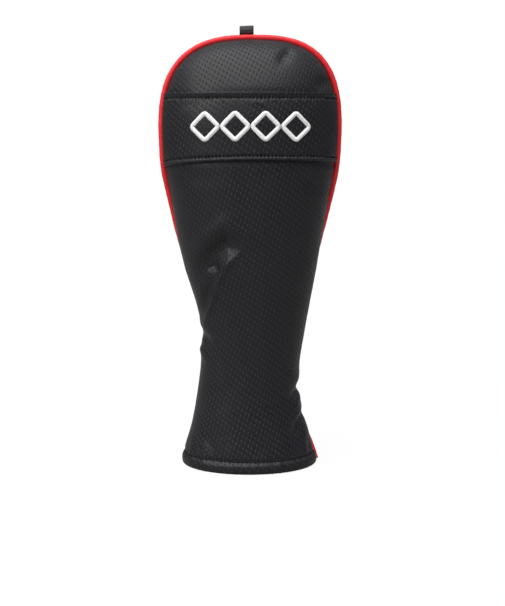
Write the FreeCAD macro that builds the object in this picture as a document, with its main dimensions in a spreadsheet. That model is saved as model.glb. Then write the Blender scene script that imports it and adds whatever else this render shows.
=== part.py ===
import FreeCAD, Part
import math
import os
import Sketcher

# A driver head cover that stands on its open hem, +Z up, front panel towards -Y.
# The origin is on the ground plane at the centre of the hem.  Lengths are millimetres.

PARTS_FOLDER = "parts"
MM = FreeCAD.Vector

SIZES = [
    ("hem_width", 54.0, "half width of the cover at the hem"),
    ("hem_depth", 42.0, "half depth at the hem"),
    ("skirt_height", 32.0, "height where the flare of the skirt ends"),
    ("skirt_width", 46.0, "half width there"),
    ("skirt_depth", 37.5, "half depth there"),
    ("neck_height", 82.0, "height of the narrowest place"),
    ("neck_width", 40.0, "half width of the neck"),
    ("neck_depth", 33.0, "half depth of the neck"),
    ("waist_height", 125.0, "height of the waist above the neck"),
    ("waist_width", 45.0, "half width of the waist"),
    ("waist_depth", 35.0, "half depth of the waist"),
    ("shoulder_height", 185.0, "height of the shoulder"),
    ("shoulder_width", 57.4, "half width of the shoulder"),
    ("shoulder_depth", 39.5, "half depth of the shoulder"),
    ("cheek_height", 225.0, "height of the cheek below the widest place"),
    ("cheek_width", 65.4, "half width of the cheek"),
    ("cheek_depth", 42.3, "half depth of the cheek"),
    ("dome_height", 265.0, "height of the widest place, where the crown begins"),
    ("dome_width", 69.2, "half width of the widest place"),
    ("dome_depth", 43.5, "half depth of the widest place"),
    ("crown_height", 336.0, "top of the leather, under the piping"),
    ("crown_power", 2.8, "roundness of the crown seen from the front"),
    ("ridge_power", 2.2, "roundness of the crown seen from the side"),
    ("leather", 1.0, "thickness of the perforated leather"),
    ("padding", 3.0, "thickness of the foam padding"),
    ("lining", 2.0, "thickness of the fleece lining"),
    ("hem_fold", 10.0, "height of the leather turned up inside the hem"),
    ("hem_seam", 9.2, "height of the hem's stitching"),
    ("thread", 0.5, "thickness of the sewing thread"),
    ("stitch_row", 0.8, "height of a row of stitches"),
    ("piping_radius", 2.0, "radius of the piping"),
    ("cord_radius", 1.2, "radius of the filler cord inside the piping"),
    ("piping_proud", 2.0, "how far the piping's centre stands off the leather"),
    ("band_low", 241.0, "lower edge of the band across the front"),
    ("band_high", 292.0, "upper edge of the band"),
    ("band_turning", 7.0, "height of the band's turned edges"),
    ("band_seam", 4.2, "distance from the band's edge to its stitching"),
    ("backing", 0.6, "thickness of the band's stiff backing"),
    ("emblem_height", 267.0, "height of the emblem's centre line"),
    ("emblem_radius", 12.5, "half diagonal of one diamond of the emblem"),
    ("emblem_stroke", 3.0, "width of the emblem's satin stitched line"),
    ("emblem_pitch", 22.5, "distance between neighbouring diamonds"),
    ("emblem_raise", 1.2, "how far the embroidery stands off the band"),
    ("elastic_low", 74.0, "lower edge of the neck elastic"),
    ("elastic_high", 92.0, "upper edge of the neck elastic"),
    ("elastic", 0.9, "thickness of the neck elastic"),
    ("loop_place", -3.0, "place of the pull loop across the crown"),
    ("loop_width", 11.0, "width of the pull loop's webbing"),
    ("webbing", 1.2, "thickness of the webbing"),
    ("loop_eye", 3.0, "inner radius of the pull loop's eye"),
    ("loop_rise", 4.4, "height of the eye's centre above the loop's base"),
    ("loop_back", 4.6, "distance of the loop's base behind the seam"),
    ("loop_base", 338.4, "height of the loop's base"),
    ("tail_length", 9.0, "length of webbing sewn into the crown seam"),
    ("tail_gap", 1.0, "clearance between the tail and the loop, which swings above it"),
    ("tack_height", 0.8, "height of the bar tack that closes the loop's base"),
    ("tack_lift", 0.6, "height of the bar tack above the loop's base"),
    ("tack_gap", 0.1, "clearance between the bar tack and the webbing"),
    ("tack_margin", 1.0, "bare webbing at each end of the bar tack"),
    ("label_width", 22.0, "width of the care label"),
    ("label_height", 16.0, "height of the care label"),
    ("label_thickness", 0.4, "thickness of the care label"),
    ("label_low", 22.0, "height of the care label's lower edge"),
    ("label_gap", 4.0, "space behind the care label"),
]

EMBLEM_DIAMONDS = 4
SHAPE_STATIONS = ("skirt", "neck", "waist", "shoulder", "cheek")
DOME_SHARES = (0.0, 0.3, 0.55, 0.75, 0.88, 0.95, 0.985, 0.996)
TOOL_REACH = 90.0
TOOL_LOW = -15.0
TOOL_HIGH = 360.0

# The seam over the crown runs this far behind the widest line.
CROWN_SEAM_BACK = 0.6

# How far the side seams lie behind the widest line: (height, mean distance, twist per mm of width).
# The leg of the cover is twisted a little, so the right seam comes forward at the hem.
SEAM_COURSE = (
    (-15.0, 13.5, -0.170),
    (0.0, 13.5, -0.170),
    (60.0, 17.0, -0.060),
    (120.0, 17.0, 0.0),
    (170.0, 14.0, 0.0),
    (200.0, 8.0, 0.0),
    (240.0, CROWN_SEAM_BACK, 0.0),
    (300.0, CROWN_SEAM_BACK, 0.0),
    (360.0, CROWN_SEAM_BACK, 0.0),
)
PIPING_HEIGHTS = (0.0, 16.0, 34.0, 56.0, 80.0, 104.0, 128.0, 152.0, 174.0, 196.0, 218.0, 240.0, 258.0)
PIPING_CROWN_TURNS = (10.0, 22.0, 34.0, 46.0, 57.0, 67.0, 76.0, 84.0)
ARC_SHARE = 0.45
PIPING_GAP = 0.05


def make_sheet(doc):
    """Put every driving dimension in a spreadsheet cell that has an alias."""
    sheet = doc.addObject("Spreadsheet::Sheet", "Sizes")
    for row, (alias, value, meaning) in enumerate(SIZES, start=1):
        sheet.set("A%d" % row, meaning)
        sheet.set("B%d" % row, str(value))
        sheet.setAlias("B%d" % row, alias)
    doc.recompute()
    return sheet


def size(sheet, alias):
    """A dimension of the sheet as a plain number."""
    return float(sheet.get(alias))


def ellipse(doc, name, height, half_width, half_depth):
    """A horizontal ellipse whose place and radii are expressions."""
    ring = doc.addObject("Part::Ellipse", name)
    ring.setExpression("MajorRadius", half_width)
    ring.setExpression("MinorRadius", half_depth)
    ring.setExpression("Placement.Base.z", height)
    return ring


def sock(doc, name, inset):
    """The solid inside the cover's outer face moved inwards by the expression inset."""
    hem_width = "Sizes.hem_width - (%s)" % inset
    hem_depth = "Sizes.hem_depth - (%s)" % inset
    rings = [ellipse(doc, name + "_hem", "0", hem_width, hem_depth)]
    for station in SHAPE_STATIONS:
        width = "Sizes.%s_width - (%s)" % (station, inset)
        depth = "Sizes.%s_depth - (%s)" % (station, inset)
        rings.append(ellipse(doc, "%s_%s" % (name, station), "Sizes.%s_height" % station, width, depth))
    for number, share in enumerate(DOME_SHARES):
        height = "Sizes.dome_height + %g * (Sizes.crown_height - Sizes.dome_height - (%s))" % (share, inset)
        narrowing = "(1 - %g ^ Sizes.{0}) ^ (1 / Sizes.{0})" % share
        width = "(Sizes.dome_width - (%s)) * %s" % (inset, narrowing.format("crown_power"))
        depth = "(Sizes.dome_depth - (%s)) * %s" % (inset, narrowing.format("ridge_power"))
        rings.append(ellipse(doc, "%s_dome_%d" % (name, number), height, width, depth))
    loft = doc.addObject("Part::Loft", name)
    loft.Sections = rings
    loft.Solid = True
    loft.Ruled = False
    loft.MaxDegree = 5
    return loft


def slab(doc, name, low, high):
    """A wide box between two heights given as expressions."""
    box = doc.addObject("Part::Box", name)
    box.Length = 2 * TOOL_REACH
    box.Width = 2 * TOOL_REACH
    box.setExpression("Height", "(%s) - (%s)" % (high, low))
    box.Placement.Base = MM(-TOOL_REACH, -TOOL_REACH, 0)
    box.setExpression("Placement.Base.z", low)
    return box


def cut(doc, name, base, tool):
    result = doc.addObject("Part::Cut", name)
    result.Base = base
    result.Tool = tool
    return result


def common(doc, name, base, tool):
    result = doc.addObject("Part::Common", name)
    result.Base = base
    result.Tool = tool
    return result


def fuse(doc, name, shapes):
    result = doc.addObject("Part::MultiFuse", name)
    result.Shapes = shapes
    return result


def layer(doc, name, outer, inner):
    """The wall between two socks."""
    return cut(doc, name, outer, inner)


def seam_mean_and_twist(height):
    """Distance of the seams behind the widest line, and its change across the width, at a height."""
    for (low, mean_low, twist_low), (high, mean_high, twist_high) in zip(SEAM_COURSE, SEAM_COURSE[1:]):
        if low <= height <= high:
            share = (height - low) / (high - low)
            ease = share * share * (3 - 2 * share)
            return mean_low + ease * (mean_high - mean_low), twist_low + ease * (twist_high - twist_low)
    raise ValueError("height is outside the seam's course")


def seam_space(doc, name, side):
    """The space in front (-1) or behind (+1) both side seams, which splits the cover in two."""
    steps = 24
    heights = [TOOL_LOW + (TOOL_HIGH - TOOL_LOW) * step / steps for step in range(steps + 1)]
    sides = []
    for edge, x in (("_left", -TOOL_REACH), ("_right", TOOL_REACH)):
        course = []
        for height in heights:
            mean, twist = seam_mean_and_twist(height)
            course.append(MM(x, mean + twist * x, height))
        curve = Part.BSplineCurve()
        curve.interpolate(course)
        far = side * TOOL_REACH
        corners = [course[-1], MM(x, far, TOOL_HIGH), MM(x, far, TOOL_LOW), course[0]]
        edges = [curve.toShape()] + [Part.LineSegment(a, b).toShape() for a, b in zip(corners, corners[1:])]
        outline = doc.addObject("Part::Feature", name + edge)
        outline.Shape = Part.Wire(edges)
        sides.append(outline)
    tool = doc.addObject("Part::Loft", name)
    tool.Sections = sides
    tool.Solid = True
    tool.Ruled = True
    return tool


def outline_at(shape, height):
    """Half width and half depth of a sock at a height."""
    box = shape.slice(MM(0, 0, 1), height)[0].BoundBox
    return box.XLength / 2, box.YLength / 2


def seam_point(shape, sheet, height, side):
    """A point of the piping's centre line on the left (-1) or right (+1) side seam."""
    half_width, half_depth = outline_at(shape, max(height, 0.01))
    half_width += size(sheet, "piping_proud")
    half_depth += size(sheet, "piping_proud")
    mean, twist = seam_mean_and_twist(height)
    x = side * half_width
    for _ in range(6):
        y = mean + twist * x
        x = side * half_width * math.sqrt(1 - (y / half_depth) ** 2)
    return MM(x, y, height)


def crown_point(sheet, turn, side):
    """A point of the piping's centre line over the crown, turn degrees above the widest place."""
    power = size(sheet, "crown_power")
    width = size(sheet, "dome_width")
    rise = size(sheet, "crown_height") - size(sheet, "dome_height")
    across = math.cos(math.radians(turn)) ** (2 / power)
    up = math.sin(math.radians(turn)) ** (2 / power)
    normal = MM(across ** (power - 1) / width, 0, up ** (power - 1) / rise)
    normal.normalize()
    point = MM(width * across, 0, size(sheet, "dome_height") + rise * up)
    point += normal * size(sheet, "piping_proud")
    return MM(side * point.x, CROWN_SEAM_BACK, point.z)


def piping_route(shape, sheet):
    """The piping's corner points, from the left of the hem over the crown to the right of the hem."""
    left = [seam_point(shape, sheet, height, -1) for height in PIPING_HEIGHTS]
    left += [crown_point(sheet, turn, -1) for turn in PIPING_CROWN_TURNS]
    right = [seam_point(shape, sheet, height, 1) for height in PIPING_HEIGHTS]
    right += [crown_point(sheet, turn, 1) for turn in PIPING_CROWN_TURNS]
    return left + right[::-1]


def rounded_wire(points):
    """Straight runs joined by tangent arcs that are as large as the runs allow."""
    edges = []
    last = points[0]
    for before, corner, after in zip(points, points[1:], points[2:]):
        arrive = corner - before
        leave = after - corner
        run = min(arrive.Length, leave.Length) * ARC_SHARE
        arrive.normalize()
        leave.normalize()
        start = corner - arrive * run
        end = corner + leave * run
        bisector = leave - arrive
        bisector.normalize()
        half_turn = arrive.getAngle(leave) / 2
        radius = run / math.tan(half_turn)
        middle = corner + bisector * (radius / math.cos(half_turn) - radius)
        edges.append(Part.LineSegment(last, start).toShape())
        edges.append(Part.Arc(start, middle, end).toShape())
        last = end
    edges.append(Part.LineSegment(last, points[-1]).toShape())
    return Part.Wire(edges)


def tube(path, start, direction, radius):
    """A round solid of one radius along a path."""
    ring = Part.Wire([Part.Circle(start, direction, radius).toShape()])
    return path.makePipeShell([ring], True, True)


def make_piping(doc, sheet, outer):
    """The red piping sewn into the seam and the filler cord inside it."""
    route = piping_route(outer.Shape, sheet)
    path = rounded_wire(route)
    direction = route[1] - route[0]
    solid = tube(path, route[0], direction, size(sheet, "piping_radius"))
    core = tube(path, route[0], direction, size(sheet, "cord_radius"))
    ground = Part.makeBox(4 * TOOL_REACH, 4 * TOOL_REACH, 50, MM(-2 * TOOL_REACH, -2 * TOOL_REACH, -50))
    whole = doc.addObject("Part::Feature", "Piping_space")
    whole.Shape = solid.cut(ground)
    cord = doc.addObject("Part::Feature", "piping_cord")
    cord.Shape = core.cut(ground)
    cover = cut(doc, "piping_cover", whole, cord)
    return whole, cover, cord


def make_shell(doc, socks, halves, tail, elastic):
    """Leather, padding and lining, each made as a front and a back piece that meet at the side seams."""
    above_fold = slab(doc, "Above_fold", "Sizes.leather", "Sizes.crown_height")
    fold = slab(doc, "Fold_slab", "0", "Sizes.hem_fold")
    pocket = cut(
        doc,
        "Pocket_for_padding",
        common(doc, "Space_under_leather", socks["leather"], above_fold),
        common(doc, "Plug_in_fold", socks["lining"], fold),
    )
    foam = common(doc, "Foam", layer(doc, "Foam_layer", socks["leather"], socks["padding"]), above_fold)
    foam = cut(doc, "Foam_channel", foam, elastic)
    fleece = common(doc, "Fleece", layer(doc, "Fleece_layer", socks["padding"], socks["lining"]), above_fold)
    pieces = []
    for side, half in halves.items():
        panel = common(doc, side + "_solid", socks["outer"], half)
        panel = cut(doc, side + "_hollow", panel, pocket)
        layers = {
            "panel": cut(doc, side + "_open", panel, socks["flap"]),
            "padding": common(doc, side + "_foam", foam, half),
            "lining": common(doc, side + "_fleece", fleece, half),
        }
        if side == "back":
            layers = {
                name: cut(doc, "back_%s_slotted" % name, piece, tail) for name, piece in layers.items()
            }
        for name, piece in layers.items():
            piece.Label = "%s_%s" % (side, name)
            pieces.append(piece)
    return pieces


def make_elastic(doc, socks):
    """The elastic ring that gathers the neck, sealed between the padding and the lining."""
    wall = layer(doc, "Elastic_layer", socks["elastic"], socks["padding"])
    height = slab(doc, "Elastic_slab", "Sizes.elastic_low", "Sizes.elastic_high")
    return common(doc, "neck_elastic", wall, height)


def make_band(doc, socks):
    """The band across the front, from piping to piping, with its backing and two rows of stitches."""
    across = slab(doc, "Band_slab", "Sizes.band_low", "Sizes.band_high")
    between = slab(
        doc,
        "Backing_slab",
        "Sizes.band_low + Sizes.band_turning",
        "Sizes.band_high - Sizes.band_turning",
    )
    to_piping = "%g - Sizes.piping_radius" % (TOOL_REACH + CROWN_SEAM_BACK - PIPING_GAP)
    for space in (across, between):
        space.setExpression("Width", to_piping)
    whole = common(doc, "Band_whole", layer(doc, "Band_layer", socks["band"], socks["outer"]), across)
    backing_layer = layer(doc, "Backing_layer", socks["backing"], socks["outer"])
    backing = common(doc, "band_backing", backing_layer, between)
    pieces = [cut(doc, "band", whole, backing), backing]
    rows = (
        ("band_top_stitching", "Sizes.band_high - Sizes.band_seam - Sizes.stitch_row"),
        ("band_bottom_stitching", "Sizes.band_low + Sizes.band_seam"),
    )
    wall = layer(doc, "Band_thread_layer", socks["band_thread"], socks["band"])
    for name, low in rows:
        space = slab(doc, name + "_slab", low, low + " + Sizes.stitch_row")
        space.setExpression("Width", to_piping)
        pieces.append(common(doc, name, wall, space))
    return pieces


def make_hem_stitching(doc, socks, piping):
    """The row of stitches round the hem, which the piping crosses twice."""
    wall = layer(doc, "Hem_thread_layer", socks["thread"], socks["outer"])
    row = common(
        doc,
        "Hem_thread_ring",
        wall,
        slab(doc, "Hem_thread_slab", "Sizes.hem_seam", "Sizes.hem_seam + Sizes.stitch_row"),
    )
    return cut(doc, "hem_stitching", row, piping)


def make_emblem(doc, socks, front):
    """A row of diamond outlines that meet at their tips, in raised embroidery on the band."""
    rings = []
    for number in range(EMBLEM_DIAMONDS):
        place = number - (EMBLEM_DIAMONDS - 1) / 2
        outlines = []
        for name, radius in (("outer", "Sizes.emblem_radius"),
                             ("inner", "Sizes.emblem_radius - Sizes.emblem_stroke * sqrt(2)")):
            prism = doc.addObject("Part::Prism", "Diamond_%d_%s" % (number, name))
            prism.Polygon = 4
            prism.setExpression("Circumradius", radius)
            prism.Height = TOOL_REACH
            prism.Placement = FreeCAD.Placement(MM(0, 0, 0), FreeCAD.Rotation(MM(1, 0, 0), 90))
            prism.setExpression("Placement.Base.x", "%g * Sizes.emblem_pitch" % place)
            prism.setExpression("Placement.Base.z", "Sizes.emblem_height")
            outlines.append(prism)
        rings.append(cut(doc, "Diamond_%d" % number, outlines[0], outlines[1]))
    row = fuse(doc, "Diamond_row", rings)
    wall = layer(doc, "Emblem_layer", socks["emblem"], socks["band"])
    return common(doc, "emblem", common(doc, "Emblem_ring", row, wall), front)


def body_on_side_plane(doc, name):
    """A new body with a sketch on its own YZ plane."""
    body = doc.addObject("PartDesign::Body", name)
    plane = next(item for item in body.Origin.OriginFeatures if item.Role == "YZ_Plane")
    sketch = body.newObject("Sketcher::SketchObject", name + "_sketch")
    sketch.AttachmentSupport = [(plane, "")]
    sketch.MapMode = "FlatFace"
    doc.recompute()
    return body, sketch


def pad_across(body, sketch, length):
    """Pad a side sketch both ways along X to a length given as an expression."""
    pad = body.newObject("PartDesign::Pad", body.Name + "_pad")
    pad.Profile = sketch
    pad.Midplane = True
    pad.setExpression("Length", length)
    return pad


def add_rectangle(sketch, low, high, width, height, left, bottom):
    """A rectangle whose width, height and place from the origin are expressions."""
    corners = [MM(low[0], low[1], 0), MM(high[0], low[1], 0), MM(high[0], high[1], 0), MM(low[0], high[1], 0)]
    for number in range(4):
        sketch.addGeometry(Part.LineSegment(corners[number], corners[(number + 1) % 4]), False)
    for number in range(4):
        sketch.addConstraint(Sketcher.Constraint("Coincident", number, 2, (number + 1) % 4, 1))
    for number in (0, 2):
        sketch.addConstraint(Sketcher.Constraint("Horizontal", number))
    for number in (1, 3):
        sketch.addConstraint(Sketcher.Constraint("Vertical", number))
    named = (
        ("across", Sketcher.Constraint("DistanceX", 0, 1, 0, 2, high[0] - low[0]), width),
        ("upward", Sketcher.Constraint("DistanceY", 1, 1, 1, 2, high[1] - low[1]), height),
        ("from_side", Sketcher.Constraint("DistanceX", -1, 1, 0, 1, low[0]), left),
        ("from_floor", Sketcher.Constraint("DistanceY", -1, 1, 0, 1, low[1]), bottom),
    )
    for name, constraint, value in named:
        index = sketch.addConstraint(constraint)
        sketch.renameConstraint(index, name)
        sketch.setExpression("Constraints." + name, value)


def make_strip(doc, name, length, width, height, left, bottom):
    """A flat rectangular piece, padded along X, with every size an expression of the sheet."""
    body, sketch = body_on_side_plane(doc, name)
    add_rectangle(sketch, (1.0, 1.0), (2.0, 2.0), width, height, left, bottom)
    pad_across(body, sketch, length)
    return body


def teardrop(radius, rise, back, base):
    """The closed side outline of a drop: two legs from a base point, tangent to a round top."""
    centre = MM(back, base + rise, 0)
    spread = math.asin(radius / rise)
    foot = MM(back, base, 0)
    right = centre + MM(math.cos(spread), -math.sin(spread), 0) * radius
    left = centre + MM(-math.cos(spread), -math.sin(spread), 0) * radius
    top = Part.Arc(right, centre + MM(0, radius, 0), left)
    return [Part.LineSegment(foot, right), top, Part.LineSegment(left, foot)]


def add_drop(sketch, radius, rise, back, base, names):
    """Draw a drop in a sketch, tangent at both shoulders, and bind its size and place to expressions."""
    first = sketch.GeometryCount
    for curve in teardrop(*[value for value, _ in (radius, rise, back, base)]):
        sketch.addGeometry(curve, False)
    right, top, left = first, first + 1, first + 2
    sketch.addConstraint(Sketcher.Constraint("Tangent", right, 2, top, 1))
    sketch.addConstraint(Sketcher.Constraint("Tangent", top, 2, left, 1))
    sketch.addConstraint(Sketcher.Constraint("Coincident", left, 2, right, 1))
    drives = (
        ("radius", Sketcher.Constraint("Radius", top, radius[0]), radius[1]),
        ("rise", Sketcher.Constraint("DistanceY", right, 1, top, 3, rise[0]), rise[1]),
        ("back", Sketcher.Constraint("DistanceX", -1, 1, top, 3, back[0]), back[1]),
        ("foot_back", Sketcher.Constraint("DistanceX", -1, 1, right, 1, back[0]), back[1]),
        ("base", Sketcher.Constraint("DistanceY", -1, 1, right, 1, base[0]), base[1]),
    )
    for name, constraint, value in drives:
        index = sketch.addConstraint(constraint)
        sketch.renameConstraint(index, names + name)
        sketch.setExpression("Constraints." + names + name, value)


def make_loop(doc, sheet):
    """The webbing pull loop above the crown seam, its sewn tail and its bar tack."""
    eye, thickness = size(sheet, "loop_eye"), size(sheet, "webbing")
    rise, back, base = (size(sheet, name) for name in ("loop_rise", "loop_back", "loop_base"))
    slope = math.asin(eye / rise)
    body, sketch = body_on_side_plane(doc, "pull_loop")
    outer_rise = (eye + thickness) / math.sin(slope)
    add_drop(
        sketch,
        (eye + thickness, "Sizes.loop_eye + Sizes.webbing"),
        (outer_rise, "(Sizes.loop_eye + Sizes.webbing) * Sizes.loop_rise / Sizes.loop_eye"),
        (back, "Sizes.loop_back"),
        (base, "Sizes.loop_base"),
        "outer_",
    )
    add_drop(
        sketch,
        (eye, "Sizes.loop_eye"),
        (rise, "Sizes.loop_rise"),
        (back, "Sizes.loop_back"),
        (base + outer_rise - rise, "Sizes.loop_base + Sizes.webbing * Sizes.loop_rise / Sizes.loop_eye"),
        "inner_",
    )
    pad_across(body, sketch, "Sizes.loop_width")
    tail = make_strip(
        doc, "loop_tail",
        "Sizes.loop_width", "2 * Sizes.webbing", "Sizes.tail_length",
        "Sizes.loop_back - Sizes.webbing", "Sizes.loop_base - Sizes.tail_gap - Sizes.tail_length",
    )
    tack = make_strip(
        doc, "loop_bar_tack",
        "Sizes.loop_width - 2 * Sizes.tack_margin", "Sizes.thread", "Sizes.tack_height",
        "Sizes.loop_back - Sizes.webbing - Sizes.thread - Sizes.tack_gap", "Sizes.loop_base + Sizes.tack_lift",
    )
    for piece in (body, tail, tack):
        piece.setExpression("Placement.Base.x", "Sizes.loop_place")
    return body, tail, tack


def make_label(doc):
    """A small blank care label that hangs flat inside the mouth at the back."""
    return make_strip(
        doc, "care_label",
        "Sizes.label_width", "Sizes.label_thickness", "Sizes.label_height",
        "Sizes.skirt_depth - Sizes.leather - Sizes.padding - Sizes.lining - Sizes.label_gap",
        "Sizes.label_low",
    )


def check(doc, pieces):
    """Stop if any object failed, or any kept piece isn't a valid solid."""
    failed = [item.Name for item in doc.Objects if "Invalid" in item.State or "Error" in item.State]
    if failed:
        raise RuntimeError("failed objects: %s" % failed)
    for piece in pieces:
        shape = piece.Shape
        if shape.isNull() or not shape.isValid() or not shape.Solids:
            raise RuntimeError("%s has no valid solid" % piece.Label)
        box = shape.BoundBox
        print("%-22s solids %2d volume %9.1f  x %.1f..%.1f y %.1f..%.1f z %.1f..%.1f" % (
            piece.Label, len(shape.Solids), shape.Volume,
            box.XMin, box.XMax, box.YMin, box.YMax, box.ZMin, box.ZMax))


def main():
    doc = FreeCAD.newDocument("HeadCover")
    sheet = make_sheet(doc)
    inner = "Sizes.leather + Sizes.padding + Sizes.lining"
    insets = {
        "outer": "0",
        "leather": "Sizes.leather",
        "elastic": "Sizes.leather + Sizes.padding - Sizes.elastic",
        "padding": "Sizes.leather + Sizes.padding",
        "lining": inner,
        "flap": inner + " + Sizes.leather",
        "thread": "-Sizes.thread",
        "backing": "-Sizes.backing",
        "band": "-Sizes.backing - Sizes.leather",
        "band_thread": "-Sizes.backing - Sizes.leather - Sizes.thread",
        "emblem": "-Sizes.backing - Sizes.leather - Sizes.emblem_raise",
    }
    socks = {name: sock(doc, "Sock_" + name, inset) for name, inset in insets.items()}
    doc.recompute()
    front = seam_space(doc, "Front_space", -1)
    back = seam_space(doc, "Back_space", 1)
    piping, cover, cord = make_piping(doc, sheet, socks["outer"])
    loop, tail, tack = make_loop(doc, sheet)
    elastic = make_elastic(doc, socks)
    pieces = make_shell(doc, socks, {"front": front, "back": back}, tail, elastic)
    pieces += [cover, cord, elastic, loop, tail, tack]
    pieces += make_band(doc, socks)
    pieces.append(make_hem_stitching(doc, socks, piping))
    pieces.append(make_emblem(doc, socks, front))
    pieces.append(make_label(doc))
    doc.recompute()
    check(doc, pieces)
    os.makedirs(PARTS_FOLDER, exist_ok=True)
    for piece in pieces:
        piece.Shape.exportStep(os.path.join(PARTS_FOLDER, piece.Label + ".step"))


main()
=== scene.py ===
import functools
import math

import bmesh
import bpy
import numpy as np
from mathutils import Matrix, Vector


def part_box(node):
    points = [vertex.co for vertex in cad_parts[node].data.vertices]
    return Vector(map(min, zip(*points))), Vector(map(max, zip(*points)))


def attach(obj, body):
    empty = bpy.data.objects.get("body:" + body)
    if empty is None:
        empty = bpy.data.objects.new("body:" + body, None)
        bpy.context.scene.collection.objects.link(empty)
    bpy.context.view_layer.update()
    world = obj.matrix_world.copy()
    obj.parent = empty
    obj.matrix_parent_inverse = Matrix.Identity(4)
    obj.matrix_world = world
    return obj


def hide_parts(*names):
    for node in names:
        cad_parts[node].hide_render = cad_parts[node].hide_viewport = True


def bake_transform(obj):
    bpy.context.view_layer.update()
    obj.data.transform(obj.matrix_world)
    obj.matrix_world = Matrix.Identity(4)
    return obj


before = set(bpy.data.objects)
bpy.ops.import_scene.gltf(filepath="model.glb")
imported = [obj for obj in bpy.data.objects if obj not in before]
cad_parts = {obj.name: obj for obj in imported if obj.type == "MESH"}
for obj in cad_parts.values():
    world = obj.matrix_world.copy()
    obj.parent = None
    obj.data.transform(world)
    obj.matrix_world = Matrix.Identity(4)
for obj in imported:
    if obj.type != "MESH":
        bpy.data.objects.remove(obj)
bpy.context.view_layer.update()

bl_info = {
    "name": "Driver head cover",
    "version": (1, 0, 0),
    "blender": (4, 5, 0),
    "location": "View3D > Sidebar > Head Cover",
    "description": "Leather, piping, band, embroidery and pull loop of a padded driver head cover",
    "category": "Add Mesh",
}

MM = 0.001

# The leg of the cover: height, half width, half depth and place of the centre across, in millimetres.
LEG = (
    (0, 54.0, 42.0, -0.8), (10, 52.6, 40.8, -1.3), (32, 46.4, 37.2, -1.4), (58, 41.1, 34.0, -1.9),
    (82, 39.8, 33.0, -0.2), (105, 41.3, 33.8, 1.8), (128, 45.1, 35.4, 2.0), (158, 52.4, 39.0, 0.2),
    (180, 56.7, 41.4, -0.6), (212, 62.0, 43.6, -0.4), (238, 66.9, 43.9, -0.4), (264, 68.5, 43.2, -0.3),
)
CROWN_TOP = 336.4
CROWN_POWER = 2.8
RIDGE_POWER = 1.85
CROWN_LEAN = 2.4

# How far the side seams lie behind the widest line: height, mean distance, change per mm of width.
SEAM_COURSE = (
    (0, 14.5, -0.13), (22, 18.0, -0.04), (60, 19.5, 0.0), (120, 18.0, 0.0),
    (180, 11.0, 0.0), (236, -1.6, 0.0), (290, -2.2, 0.0), (340, -2.0, 0.0),
)

# Folds of the front: points (across, height), width, and rise above (+) or depth below (-) the leather.
FRONT_FOLDS = (
    (((-37, 152), (-30, 170), (-19, 178), (-4, 172)), 7.2, -5.2),
    (((-42, 164), (-34, 184), (-20, 194), (-4, 186)), 6.5, 1.6),
    (((-34, 160), (-29, 161), (-24, 158)), 3.2, -2.2),
    (((-6, 176), (-18, 163), (-27, 146), (-33, 126), (-38, 108)), 2.8, 2.4),
    (((-25, 156), (-33, 140), (-38, 122)), 4.6, -3.2),
    (((-2, 176), (10, 168), (16, 156)), 7.0, -0.9),
    (((-44, 112), (-37, 105), (-31, 101)), 3.5, -2.0),
    (((-43, 96), (-37, 91), (-34, 84)), 3.2, 1.5),
    (((43, 68), (38, 61), (31, 57)), 3.2, -2.1),
    (((39, 57), (36, 51), (37, 44)), 2.8, 1.7),
    (((41, 49), (38, 42), (33, 36)), 2.2, 1.4),
    (((44, 46), (37, 36), (35, 24)), 4.0, -2.1),
    (((41, 36), (44, 28), (46, 21)), 2.0, 1.1),
    (((27, 78), (34, 72), (41, 70)), 6.0, 1.0),
    (((33, 329), (27, 322), (21, 314)), 4.0, -1.8),
    (((60, 306), (56, 300), (50, 296)), 5.0, -1.8),
    (((-58, 232), (-46, 228), (-30, 229)), 5.0, -0.7),
    (((34, 232), (48, 226), (58, 214)), 6.0, -0.8),
    (((12, 206), (26, 190), (34, 170)), 8.0, 0.7),
    (((8, 118), (16, 104), (20, 88)), 7.0, -0.6),
    (((-12, 78), (-20, 60), (-22, 44)), 6.0, -0.6),
    (((-36, 30), (-30, 20), (-28, 12)), 3.5, -0.7),
    (((2, 30), (6, 20), (6, 12)), 3.5, -0.5),
)
BACK_FOLDS = (
    (((-30, 176), (-12, 166), (6, 170)), 6.0, -1.8),
    (((-24, 164), (-8, 156), (8, 160)), 6.0, 1.2),
    (((38, 150), (28, 128), (31, 106)), 4.0, -1.6),
    (((30, 152), (20, 130), (23, 104)), 3.2, 1.1),
    (((-36, 104), (-26, 96), (-14, 98)), 4.0, -1.5),
    (((-34, 66), (-28, 52), (-31, 38)), 4.2, -1.4),
    (((6, 74), (20, 66), (34, 70)), 4.5, -1.2),
    (((-44, 226), (-20, 216), (10, 219)), 8.0, -0.9),
    (((20, 250), (40, 236), (50, 214)), 8.0, -0.8),
)

# The turned hem: height of its seam, radius of its roll and height of the turned edge inside.
HEM_SEAM = 9.6
HEM_ROLL = 2.3
HEM_FLAP = 10.4
HEM_STITCH = {"Pitch": 0.0034, "Length": 0.0027, "Thread": 0.00085}
# Height of the hem's roll over the height at which the outer leather starts.
ROLL_SHARE = 1.6

# The band: heights of its edges, distance from them to its seams, and pitch of its stitches.
BAND_LOW, BAND_HIGH = 240.9, 292.1
BAND_SEAM = 4.2
BAND_PITCH = 2.8
BAND_STITCH = {"Pitch": BAND_PITCH * MM, "Length": 0.0023, "Thread": 0.0011}
# Columns of the front that the band leaves free beside each side seam.
BAND_INSET = 1.7
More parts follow.
